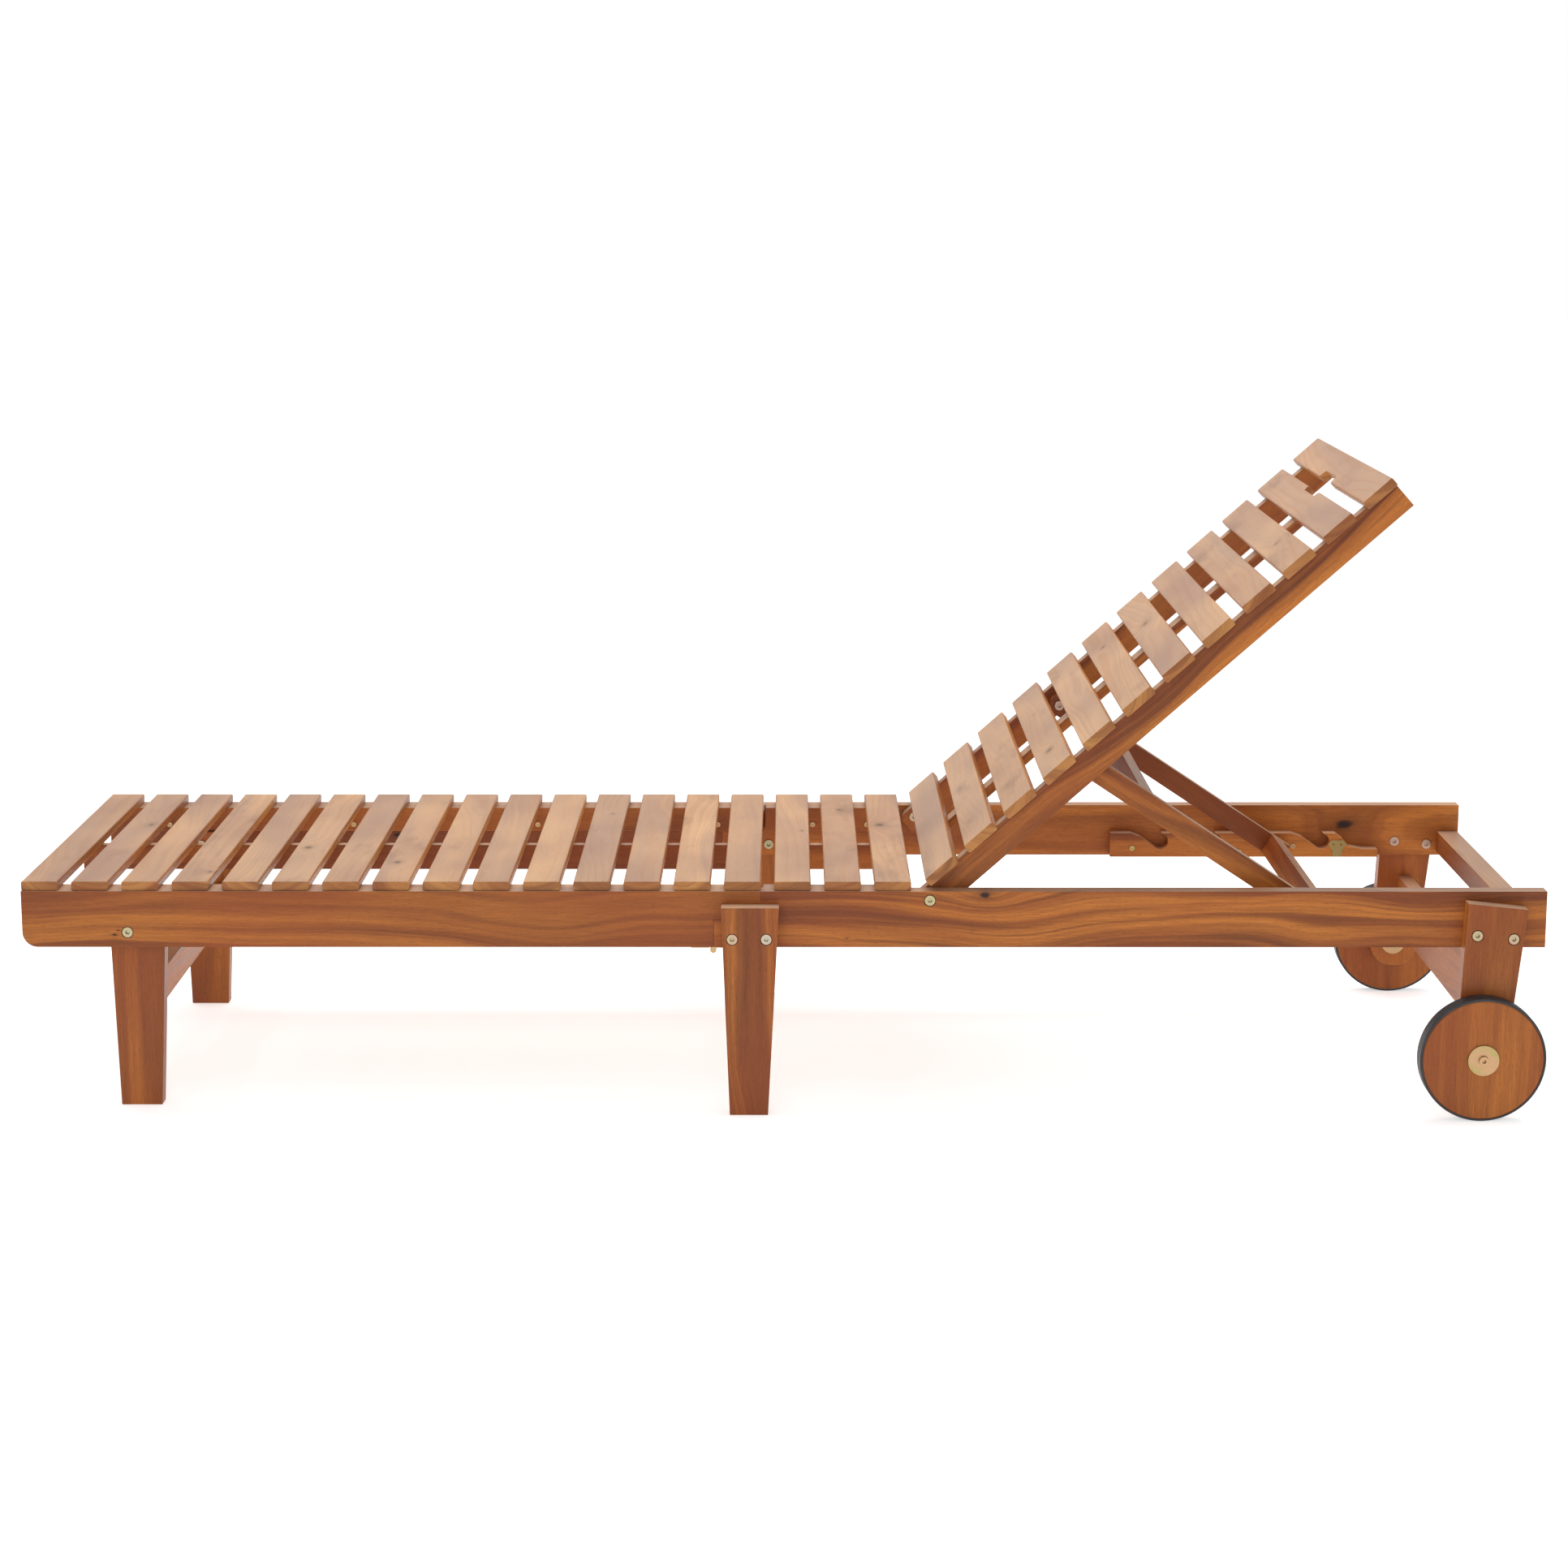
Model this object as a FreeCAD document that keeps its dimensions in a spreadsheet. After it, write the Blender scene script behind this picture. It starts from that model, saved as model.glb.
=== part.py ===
import FreeCAD, Part
import os
import re
import Sketcher

# A reclining sun lounger in hardwood, 2 m long, with two wheels at its head end.
# Row frame, in millimetres: x runs from the foot end (-1000) to the head end (+1000), y across,
# z up from the ground. The origin is on the ground in the middle of the lounger.
# "left" is the -y side and "right" the +y side of a person lying on it with the head at +x.

doc = FreeCAD.newDocument("sun_lounger")

SIZES = {
    # overall frame
    "head_end": 1000.0, "half_width": 300.0, "rail_top": 297.0, "rail_depth": 75.0, "rail_thick": 24.0,
    "foot_corner": 20.0,
    # stepped lap where the foot frame meets the head frame
    "lap_upper": -30.5, "lap_lower": -92.5, "lap_level": 259.0, "lap_gap": 0.4,
    # slats
    "slat_width": 48.0, "slat_thick": 12.5, "slat_length": 594.0, "slat_round": 2.5, "seat_pitch": 65.82,
    "back_pitch": 67.75, "back_width": 48.5, "back_first": 12.8,
    # battens and centre beams under the slats
    "batten_thick": 20.0, "batten_depth": 35.0, "beam_thick": 14.0,
    "foot_batten_start": -980.0, "foot_batten_long": 945.0, "foot_beam_long": 925.0,
    "head_batten_start": -28.0, "head_batten_long": 178.0, "head_beam_start": -5.0, "head_beam_long": 155.0,
    # timbers across the frame
    "front_bar_x": -845.0, "front_bar_thick": 23.0, "front_bar_foot": 140.0, "front_bar_deep": 44.0,
    "wheel_bar_x": 917.5, "wheel_bar_thick": 20.0, "wheel_bar_foot": 107.0, "wheel_bar_deep": 78.5,
    "end_bar_x": 968.0, "end_bar_thick": 31.0, "end_bar_foot": 227.0, "end_bar_deep": 31.0,
    # front legs, inside the rails
    "front_top_a": -890.5, "front_top_b": -816.0, "front_foot_a": -883.0, "front_foot_b": -829.0,
    "front_top": 261.0, "leg_thick": 24.0,
    # middle legs, outside the rails
    "mid_top_a": -82.0, "mid_top_b": -6.3, "mid_foot_a": -71.3, "mid_foot_b": -20.8, "mid_top": 280.0,
    # wheel legs, outside the rails
    "wleg_top_a": 892.5, "wleg_top_b": 971.0, "wleg_high_a": 286.0, "wleg_high_b": 278.0,
    "wleg_foot_a": 881.3, "wleg_foot_b": 946.0, "wleg_foot": 47.0, "wleg_round": 29.0,
    # wheels
    "wheel_x": 914.0, "wheel_radius": 79.5, "tyre_radius": 82.5, "wheel_width": 24.4, "wheel_gap": 3.3,
    "tyre_inset": 0.7, "wheel_bevel": 1.5, "tyre_shoulder": 1.2,
    "axle_radius": 5.0, "running_fit": 0.05, "axle_inner_end": 6.0, "spacer_radius": 12.0,
    "washer_radius": 20.5, "washer_thick": 1.8, "washer_gap": 0.3, "axle_cap_radius": 6.5, "axle_cap": 3.6,
    "axle_nut_radius": 9.0, "axle_nut": 5.0, "leg_washer_radius": 17.5, "leg_washer": 1.5,
    # racks and their hooked notches
    "rack_start": 482.0, "rack_end": 878.0, "rack_foot": 223.0, "rack_top": 258.8, "rack_thick": 20.0,
    "notch_first": 556.2, "notch_pitch": 79.5, "notch_level": 246.5, "notch_radius": 11.5, "notch_slope": 8.1,
    "mouth_run": 44.0, "mouth_knee": 30.0, "mouth_dip": 5.0, "hook_lip": 1.5,
    "tail_run": 63.0, "tail_knee": 53.0, "tail_bend": 42.0, "tail_flat": 22.0,
    "tail_dip": 7.0, "tail_low": 20.0, "tail_floor": 24.0,
    # backrest, laid out along its own slope from the recline pivot
    "pivot_x": 191.6, "pivot_z": 284.5, "recline": 41.6, "back_side": 274.0, "back_thick": 22.0,
    "back_heel": 17.0, "heel_round": 10.0, "back_end": 806.5, "back_face": 12.8, "back_under": 25.2,
    "lath_start": 20.0, "lath_long": 700.0, "lath_wide": 34.0,
    "hole_low": 730.5, "hole_high": 769.5, "hole_half": 41.0, "hole_flare": 6.0, "hole_shift": 8.0,
    # prop frame that holds the backrest up, laid out along its arms from the prop pivot
    "prop_reach": 269.9, "prop_drop": 12.0, "prop_length": 380.0, "prop_side": 250.0, "arm_thick": 20.0,
    "arm_half": 14.5, "arm_end": 402.0, "rod_level": 244.5, "rod_radius": 8.0, "rod_tip": 253.8,
    "bar_low_half": 10.5, "bar_high_mid": 84.0, "bar_high_half": 12.0, "bar_high_under": 11.0,
    # bolts, screws and small ironwork
    "front_bolt_x": -862.0, "front_bolt_z": 241.6, "mid_bolt_low": -67.6, "mid_bolt_high": -23.0,
    "mid_bolt_z": 237.7, "wheel_bolt_low": 906.0, "wheel_bolt_low_z": 242.7, "wheel_bolt_high": 953.6,
    "wheel_bolt_high_z": 238.3, "bolt_play": 0.3, "bolt_bite": 15.0, "bolt_radius": 4.0,
    "key_size": 5.0, "key_deep": 3.5, "cap_radius": 7.0, "cap_thick": 2.5, "nut_thick": 1.8,
    "sink_radius": 8.0, "sink_depth": 3.0, "screw_level": 272.0, "screw_radius": 3.8,
    "screw_proud": 1.6, "screw_shank": 2.0, "screw_reach": 14.0,
    "hinge_x": -92.8, "hinge_z": 217.7, "knuckle_radius": 4.2, "hinge_pin": 2.0, "leaf_thick": 1.5,
    "leaf_reach": 25.0, "hinge_side": 298.0, "hinge_wide": 20.0, "leaf_play": 0.6,
    "keeper_x": 818.0, "keeper_thick": 1.2, "keeper_hole": 1.6,
}

sheet = doc.addObject("Spreadsheet::Sheet", "Sizes")
for row, (alias, value) in enumerate(SIZES.items(), start=1):
    sheet.set(f"A{row}", alias)
    sheet.set(f"B{row}", str(value))
    sheet.setAlias(f"B{row}", alias)
doc.recompute()

ALIAS = re.compile(r"\b(" + "|".join(sorted(SIZES, key=len, reverse=True)) + r")\b")
RAIL_FOOT = "(rail_top - rail_depth)"
PROP_X = "(pivot_x + prop_reach * cos(recline * 1deg) + prop_drop * sin(recline * 1deg))"
PROP_Z = "(pivot_z + prop_reach * sin(recline * 1deg) - prop_drop * cos(recline * 1deg))"
PROP_ANGLE = f"asin(({PROP_Z} - rod_level) / prop_length) / 1deg"
SIDES = {"left": -1, "right": 1}


def size(text):
    """Expression text with every sheet alias given its sheet's name."""
    return ALIAS.sub(r"Sizes.\1", str(text))


def value_of(text):
    """The present value of such a text, in millimetres or degrees."""
    found = sheet.evalExpression(size(text))
    return float(getattr(found, "Value", found))


def bind(obj, **expressions):
    for prop, text in expressions.items():
        obj.setExpression(prop.replace("__", "."), size(text))


def place(obj, at_x="0", at_y="0", at_z="0"):
    """Bind an object's position to the sheet."""
    bind(obj, Placement__Base__x=at_x, Placement__Base__y=at_y, Placement__Base__z=at_z)


def tilt(obj, angle, axis=(0, -1, 0)):
    """Bind an object's turn about a crosswise axis to the sheet."""
    obj.Placement = FreeCAD.Placement(FreeCAD.Vector(), FreeCAD.Rotation(FreeCAD.Vector(*axis), 30))
    bind(obj, Placement__Rotation__Angle=angle)


def new_body(label):
    body = doc.addObject("PartDesign::Body", label)
    body.Label = label
    return body


def new_sketch(body, name, role):
    sketch = body.newObject("Sketcher::SketchObject", name)
    plane = next(item for item in body.Origin.OriginFeatures if item.Role == role)
    sketch.AttachmentSupport = [(plane, "")]
    sketch.MapMode = "FlatFace"
    return sketch


def draw_polygon(sketch, corners):
    """A closed outline whose corners are each held at two bound distances from the origin."""
    points = [FreeCAD.Vector(*(value_of(part) for part in corner), 0) for corner in corners]
    count = len(points)
    for index in range(count):
        sketch.addGeometry(Part.LineSegment(points[index], points[(index + 1) % count]), False)
    for index in range(count):
        sketch.addConstraint(Sketcher.Constraint("Coincident", index, 2, (index + 1) % count, 1))
    for index, corner in enumerate(corners):
        for kind, text, value in zip(("DistanceX", "DistanceY"), corner, points[index]):
            number = sketch.addConstraint(Sketcher.Constraint(kind, -1, 1, index, 1, value))
            sketch.setExpression(f"Constraints[{number}]", size(text))


def draw_circles(sketch, centres, radius):
    for index, centre in enumerate(centres):
        middle = FreeCAD.Vector(*(value_of(part) for part in centre), 0)
        circle = Part.Circle(middle, FreeCAD.Vector(0, 0, 1), value_of(radius))
        sketch.addGeometry(circle, False)
        number = sketch.addConstraint(Sketcher.Constraint("Radius", index, value_of(radius)))
        sketch.setExpression(f"Constraints[{number}]", size(radius))
        for kind, text, value in zip(("DistanceX", "DistanceY"), centre, middle):
            number = sketch.addConstraint(Sketcher.Constraint(kind, -1, 1, index, 3, value))
            sketch.setExpression(f"Constraints[{number}]", size(text))


def pad(body, sketch, name, length, inward=1):
    """Thicken a sketch by length; inward 1 goes towards +y on an upright plane, -1 towards -y."""
    feature = body.newObject("PartDesign::Pad", name)
    feature.Profile = sketch
    feature.Reversed = inward > 0
    bind(feature, Length=length)
    sketch.Visibility = False
    return feature


def pocket(body, sketch, name, inward=1, depth=None):
    """Cut a sketch into the solid, right through unless a depth is given."""
    feature = body.newObject("PartDesign::Pocket", name)
    feature.Profile = sketch
    feature.Reversed = inward < 0
    if depth is None:
        feature.Type = "ThroughAll"
    else:
        bind(feature, Length=depth)
    return feature


def board(label, corners, thick, side_at, inward):
    """An upright board: an outline in x and z, with one face at y = side_at, thickened inward."""
    body = new_body(label)
    sketch = new_sketch(body, label + "_outline", "XZ_Plane")
    draw_polygon(sketch, corners)
    pad(body, sketch, label + "_pad", thick, inward)
    place(body, at_y=side_at)
    return body


def drill(body, tag, centres, radius, inward, depth=None, far_face=None):
    """Round holes across the board, from the face that its outline lies on.

    far_face is the board's thickness, for holes that start from its other face.
    """
    sketch = new_sketch(body, f"{body.Label}_{tag}_circles", "XZ_Plane")
    draw_circles(sketch, centres, radius)
    if far_face:
        away = f"{-inward} * {far_face}"
        sketch.AttachmentOffset = FreeCAD.Placement(FreeCAD.Vector(0, 0, value_of(away)), FreeCAD.Rotation())
        bind(sketch, AttachmentOffset__Base__z=away)
        inward = -inward
    return pocket(body, sketch, f"{body.Label}_{tag}", inward, depth)


def round_edges(body, name, radius, wanted):
    """Fillet the edges of the body's last solid that wanted(edge) picks."""
    doc.recompute()
    tip = body.Tip
    edges = [f"Edge{index}" for index, edge in enumerate(tip.Shape.Edges, start=1) if wanted(edge)]
    feature = body.newObject("PartDesign::Fillet", name)
    feature.Base = (tip, edges)
    bind(feature, Radius=radius)
    return feature


def box(label, length, width, height, at_x, at_y, at_z):
    """A plain squared timber."""
    timber = doc.addObject("Part::Box", label)
    timber.Label = label
    bind(timber, Length=length, Width=width, Height=height)
    place(timber, at_x, at_y, at_z)
    return timber


def rod(name, radius, length, at_x="0", at_y="0", at_z="0", heading=1):
    """A round bar along y from (at_x, at_y, at_z): towards +y when heading is 1."""
    cylinder = doc.addObject("Part::Cylinder", name)
    turn = FreeCAD.Rotation(FreeCAD.Vector(1, 0, 0), -90 * heading)
    cylinder.Placement = FreeCAD.Placement(FreeCAD.Vector(), turn)
    bind(cylinder, Radius=radius, Height=length)
    place(cylinder, at_x, at_y, at_z)
    return cylinder


def fuse(name, shapes):
    joined = doc.addObject("Part::MultiFuse", name)
    joined.Shapes = shapes
    return joined


def cut(name, base, tool):
    left_over = doc.addObject("Part::Cut", name)
    left_over.Base = base
    left_over.Tool = tool
    return left_over


def group(label, members):
    """Several separate solids kept as one named node."""
    bundle = doc.addObject("Part::Compound", label)
    bundle.Label = label
    bundle.Links = members
    return bundle


def offset(sign, distance):
    """A y position at a distance from the middle, on the left (-1) or the right (1)."""
    return f"{sign} * ({distance})"


def hex_socket(name, across, deep, at_x, at_y, at_z, heading):
    """A six-sided recess for a key, sunk from y = at_y in the heading direction."""
    prism = doc.addObject("Part::Prism", name)
    prism.Polygon = 6
    turn = FreeCAD.Rotation(FreeCAD.Vector(1, 0, 0), -90 * heading)
    prism.Placement = FreeCAD.Placement(FreeCAD.Vector(), turn)
    bind(prism, Circumradius=f"{across} / 1.732", Height=deep)
    place(prism, at_x, at_y, at_z)
    return prism


def connector(name, at_x, at_z, sign, outer, inner, outer_sink):
    """A connector bolt along y: a shank with a flat round cap and a key socket at each end.

    outer and inner are the distances from the middle of the two wooden faces that it clamps.
    outer_sink is how far the outer cap sits below its face.
    """
    head_face = f"({outer} - {outer_sink} + cap_thick)"
    reach = f"{head_face} - ({inner})"
    shank = rod(name + "_shank", "bolt_radius", reach, at_x, offset(sign, inner), at_z, sign)
    cap = rod(name + "_cap", "cap_radius", "cap_thick", at_x, offset(sign, head_face), at_z, -sign)
    nut = rod(name + "_nut", "cap_radius", "nut_thick", at_x, offset(sign, inner), at_z, -sign)
    solid = fuse(name + "_solid", [shank, cap, nut])
    nut_face = f"{inner} - nut_thick"
    head_y, nut_y = offset(sign, head_face), offset(sign, nut_face)
    sockets = [hex_socket(name + "_socket", "key_size", "key_deep", at_x, head_y, at_z, -sign),
               hex_socket(name + "_nut_socket", "key_size", "key_deep", at_x, nut_y, at_z, sign)]
    return cut(name, solid, fuse(name + "_sockets", sockets))


def screw(name, at_x, at_z, sign, face):
    """A wood screw driven outward from an inner face, with a low domed head and a cross slot."""
    head = rod(name + "_head", "screw_radius", "screw_proud", at_x, offset(sign, face), at_z, -sign)
    shank = rod(name + "_shank", "screw_shank", "screw_reach", at_x, offset(sign, face), at_z, sign)
    solid = fuse(name + "_solid", [head, shank])
    slot_face = f"{face} - screw_proud"
    slots = []
    for tag, wide, tall in (("a", 4.4, 1.0), ("b", 1.0, 4.4)):
        slot = doc.addObject("Part::Box", f"{name}_slot_{tag}")
        bind(slot, Length=wide, Width=1.8, Height=tall)
        place(slot, f"{at_x} - {wide / 2}", f"{offset(sign, slot_face)} - 0.9", f"{at_z} - {tall / 2}")
        slots.append(slot)
    return cut(name, solid, fuse(name + "_cross", slots))


NODES = []


def keep(node):
    NODES.append(node)
    return node


# Side rails: the foot pair and the head pair meet in a stepped lap.
FOOT_RAIL = [("-head_end", "rail_top"), ("lap_upper", "rail_top"), ("lap_upper", "lap_level"),
             ("lap_lower", "lap_level"), ("lap_lower", RAIL_FOOT), ("-head_end", RAIL_FOOT)]
HEAD_RAIL = [("lap_upper + lap_gap", "rail_top"), ("head_end", "rail_top"), ("head_end", RAIL_FOOT),
             ("lap_lower + lap_gap", RAIL_FOOT), ("lap_lower + lap_gap", "lap_level - lap_gap"),
             ("lap_upper + lap_gap", "lap_level - lap_gap")]
FRONT_BOLT = ("front_bolt_x", "front_bolt_z")
MID_BOLTS = [("mid_bolt_low", "mid_bolt_z"), ("mid_bolt_high", "mid_bolt_z")]
WHEEL_BOLTS = [("wheel_bolt_low", "wheel_bolt_low_z"), ("wheel_bolt_high", "wheel_bolt_high_z")]
RECLINE_BOLT = ("pivot_x", "pivot_z")
# places of the wood screws, in x, and in z where they differ
FOOT_SCREWS = (-908, -636, -364, -98)
SEAT_SCREWS = (42, 122)
RACK_SCREWS = ((514.6, 236.3), (673, 231), (752.7, 239.4))
SEAT_SLATS = 18
FOOT_SLATS = 15
BACK_SLATS = 12


def side_rails(name, sign):
    foot = keep(board(f"foot_rail_{name}", FOOT_RAIL, "rail_thick", offset(sign, "half_width"), -sign))

    def low_end_corner(edge):
        middle = edge.CenterOfMass
        end = value_of("-head_end")
        return abs(middle.x - end) < 0.1 and abs(middle.z - value_of(RAIL_FOOT)) < 0.1
    round_edges(foot, f"foot_rail_{name}_corner", "foot_corner", low_end_corner)
    drill(foot, "sink", [FRONT_BOLT], "sink_radius", -sign, "sink_depth")
    drill(foot, "bolt", [FRONT_BOLT], "bolt_radius", -sign)
    head = keep(board(f"head_rail_{name}", HEAD_RAIL, "rail_thick", offset(sign, "half_width"), -sign))
    drill(head, "sink", [RECLINE_BOLT], "sink_radius", -sign, "sink_depth")
    drill(head, "bolt", [RECLINE_BOLT] + MID_BOLTS + WHEEL_BOLTS, "bolt_radius", -sign)


def legs(name, sign):
    inner_face = "half_width - rail_thick"
    front = keep(board(f"front_leg_{name}",
                       [("front_top_a", "front_top"), ("front_top_b", "front_top"),
                        ("front_foot_b", "0"), ("front_foot_a", "0")],
                       "leg_thick", offset(sign, inner_face), -sign))
    drill(front, "bolt", [FRONT_BOLT], "bolt_radius", -sign)
    outer_face = "half_width + leg_thick"
    middle = keep(board(f"middle_leg_{name}",
                        [("mid_top_a", "mid_top"), ("mid_top_b", "mid_top"),
                         ("mid_foot_b", "0"), ("mid_foot_a", "0")],
                        "leg_thick", offset(sign, outer_face), -sign))
    drill(middle, "sink", MID_BOLTS, "sink_radius", -sign, "sink_depth")
    drill(middle, "bolt", MID_BOLTS, "bolt_radius", -sign)
    wheel_leg = keep(board(f"wheel_leg_{name}",
                           [("wleg_top_a", "wleg_high_a"), ("wleg_top_b", "wleg_high_b"),
                            ("wleg_foot_b", "wleg_foot"), ("wleg_foot_a", "wleg_foot")],
                           "leg_thick", offset(sign, outer_face), -sign))
    round_edges(wheel_leg, f"wheel_leg_{name}_foot", "wleg_round",
                lambda edge: abs(edge.BoundBox.ZMin - value_of("wleg_foot")) < 0.1
                and abs(edge.Length - value_of("leg_thick")) < 0.1)
    drill(wheel_leg, "sink", WHEEL_BOLTS, "sink_radius", -sign, "sink_depth")
    drill(wheel_leg, "bolt", WHEEL_BOLTS, "bolt_radius", -sign)
    drill(wheel_leg, "axle", [("wheel_x", "tyre_radius")], "axle_radius", -sign)


def slat(label, at_x, width, hole=None):
    """A cross slat with softened long edges, laid flat with its low long edge at local x = 0.

    hole is the outline, in x and y, of a hand-hole recess cut down through it.
    """
    body = new_body(label)
    sketch = new_sketch(body, label + "_section", "XZ_Plane")
    draw_polygon(sketch, [(at_x, "0"), (f"{at_x} + {width}", "0"),
                          (f"{at_x} + {width}", "slat_thick"), (at_x, "slat_thick")])
    pad(body, sketch, label + "_pad", "slat_length")

    def long_edge(edge):
        return abs(edge.Length - value_of("slat_length")) < 0.1
    round_edges(body, label + "_round", "slat_round", long_edge)
    if hole:
        recess = new_sketch(body, label + "_recess", "XY_Plane")
        draw_polygon(recess, hole)
        pocket(body, recess, label + "_hand_hole", inward=-1)
    return body


def seat_slats():
    for number in range(1, SEAT_SLATS + 1):
        frame = "foot" if number <= FOOT_SLATS else "head"
        body = keep(slat(f"{frame}_slat_{number:02d}", "0", "slat_width"))
        place(body, f"-head_end + {number - 1} * seat_pitch", "-slat_length / 2", "rail_top")


def lean(node, at_y="0"):
    """Set a piece drawn along the backrest's slope, with its origin on the recline pivot."""
    tilt(node, "recline")
    place(node, "pivot_x", at_y, "pivot_z")


def hand_hole(deep, edge):
    """The half of the hand hole in one slat: deep is its far side, edge the slat's own long edge."""
    middle = "(slat_length / 2 + hole_shift)"
    return [(deep, f"{middle} - hole_half"), (deep, f"{middle} + hole_half"),
            (edge, f"{middle} + hole_half + hole_flare"), (edge, f"{middle} - hole_half - hole_flare")]


def back_slats():
    plain = []
    for number in range(1, BACK_SLATS + 1):
        low = f"(back_first + {number - 1} * back_pitch)"
        if number == BACK_SLATS - 1:
            hole = hand_hole("hole_low", f"({low} + back_width + 1)")
            body = keep(slat("hand_hole_slat_lower", low, "back_width", hole))
        elif number == BACK_SLATS:
            hole = hand_hole("hole_high", f"({low} - 1)")
            body = keep(slat("hand_hole_slat_upper", low, "back_width", hole))
        else:
            body = slat(f"back_slat_{number:02d}", low, "back_width")
            plain.append(body)
        tilt(body, "recline")
        place(body, "pivot_x - back_face * sin(recline * 1deg)", "-slat_length / 2",
              "pivot_z + back_face * cos(recline * 1deg)")
    keep(group("backrest_slats", plain))


def under_slats():
    """Battens along the rails' inner faces and the beams down the middle, all under the slats."""
    batten_foot = "rail_top - batten_depth"
    pairs = {"foot_battens": ("foot_batten_start", "foot_batten_long"),
             "head_battens": ("head_batten_start", "head_batten_long")}
    for label, (start, length) in pairs.items():
        members = []
        for name, sign in SIDES.items():
            low_side = "-half_width + rail_thick" if sign < 0 else "half_width - rail_thick - batten_thick"
            members.append(box(f"{label}_{name}", length, "batten_thick", "batten_depth",
                               start, low_side, batten_foot))
        keep(group(label, members))
    keep(box("foot_centre_beam", "foot_beam_long", "beam_thick", "batten_depth",
             "foot_batten_start", "-beam_thick / 2", batten_foot))
    keep(box("head_centre_beam", "head_beam_long", "beam_thick", "batten_depth",
             "head_beam_start", "-beam_thick / 2", batten_foot))


def cross_timbers():
    between_legs = "2 * (half_width - rail_thick - leg_thick)"
    keep(box("front_leg_stretcher", "front_bar_thick", between_legs, "front_bar_deep", "front_bar_x",
             "-half_width + rail_thick + leg_thick", "front_bar_foot"))
    keep(box("wheel_leg_stretcher", "wheel_bar_thick", "2 * half_width", "wheel_bar_deep", "wheel_bar_x",
             "-half_width", "wheel_bar_foot"))
    keep(box("head_cross_rail", "end_bar_thick", "2 * (half_width - rail_thick)", "end_bar_deep",
             "end_bar_x", "-half_width + rail_thick", "end_bar_foot"))


def rack(name, sign):
    """A toothed board on the head rail's inner face: four hooked notches, then a low flat tail."""
    outline = [("rack_start", "rack_foot"), ("rack_end", "rack_foot"), ("rack_end", "rack_top"),
               ("rack_start", "rack_top")]
    label = f"rack_{name}"
    body = keep(board(label, outline, "rack_thick", offset(sign, "half_width - rail_thick"), -sign))
    ramp = new_sketch(body, label + "_ramp", "XZ_Plane")
    draw_polygon(ramp, [("notch_first - mouth_run", "rack_top + 1"), ("notch_first - mouth_run", "rack_top"),
                        ("notch_first - mouth_knee", "rack_top - mouth_dip"),
                        ("notch_first - notch_slope", "notch_level - notch_slope"),
                        ("notch_first + notch_slope", "notch_level + notch_slope"),
                        ("notch_first + hook_lip", "rack_top"), ("notch_first + hook_lip", "rack_top + 1")])
    mouth = pocket(body, ramp, label + "_mouth", -sign)
    seat = drill(body, "seat", [("notch_first", "notch_level")], "notch_radius", -sign)
    repeat = body.newObject("PartDesign::LinearPattern", label + "_notches")
    repeat.Originals = [mouth, seat]
    repeat.Direction = (ramp, ["H_Axis"])
    repeat.Occurrences = 4
    bind(repeat, Length="3 * notch_pitch")
    body.Tip = repeat
    tail = new_sketch(body, label + "_tail", "XZ_Plane")
    draw_polygon(tail, [("rack_end - tail_run", "rack_top + 1"), ("rack_end - tail_run", "rack_top"),
                        ("rack_end - tail_knee", "rack_top - tail_dip"),
                        ("rack_end - tail_bend", "rack_top - tail_low"),
                        ("rack_end - tail_flat", "rack_top - tail_floor"),
                        ("rack_end + 1", "rack_top - tail_floor"), ("rack_end + 1", "rack_top + 1")])
    pocket(body, tail, label + "_tail_cut", -sign)


def crosswise(behind, thick):
    """Picks the edges across a board of that thickness at its end x = -behind."""
    end = -value_of(behind)
    length = value_of(thick)
    return lambda edge: abs(edge.CenterOfMass.x - end) < 0.1 and abs(edge.Length - length) < 0.1


def backrest_frame(name, sign):
    """A side rail of the backrest, with a rounded heel round the recline pivot."""
    heel = [("-back_heel", "-back_under"), ("back_end", "-back_under"), ("back_end", "back_face"),
            ("-back_heel", "back_face")]
    body = keep(board(f"backrest_rail_{name}", heel, "back_thick", "0", -sign))
    round_edges(body, f"backrest_rail_{name}_heel", "heel_round", crosswise("back_heel", "back_thick"))
    drill(body, "pivot", [("0", "0")], "bolt_radius + running_fit", -sign)
    drill(body, "prop", [("prop_reach", "-prop_drop")], "bolt_radius", -sign, "bolt_bite", "back_thick")
    lean(body, offset(sign, "back_side"))


def prop_arm(name, sign):
    """An arm of the prop, rounded at its pivot end, bored for the pivot bolt and the lower rod."""
    outline = [("-arm_half", "-arm_half"), ("arm_end", "-arm_half"), ("arm_end", "arm_half"),
               ("-arm_half", "arm_half")]
    body = keep(board(f"prop_arm_{name}", outline, "arm_thick", "0", -sign))
    round_edges(body, f"prop_arm_{name}_end", "arm_half - 0.1", crosswise("arm_half", "arm_thick"))
    drill(body, "pivot", [("0", "0")], "bolt_radius + running_fit", -sign)
    drill(body, "rod", [("prop_length", "0")], "rod_radius", -sign)
    tilt(body, f"-({PROP_ANGLE})")
    place(body, PROP_X, offset(sign, "prop_side"), PROP_Z)


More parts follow.
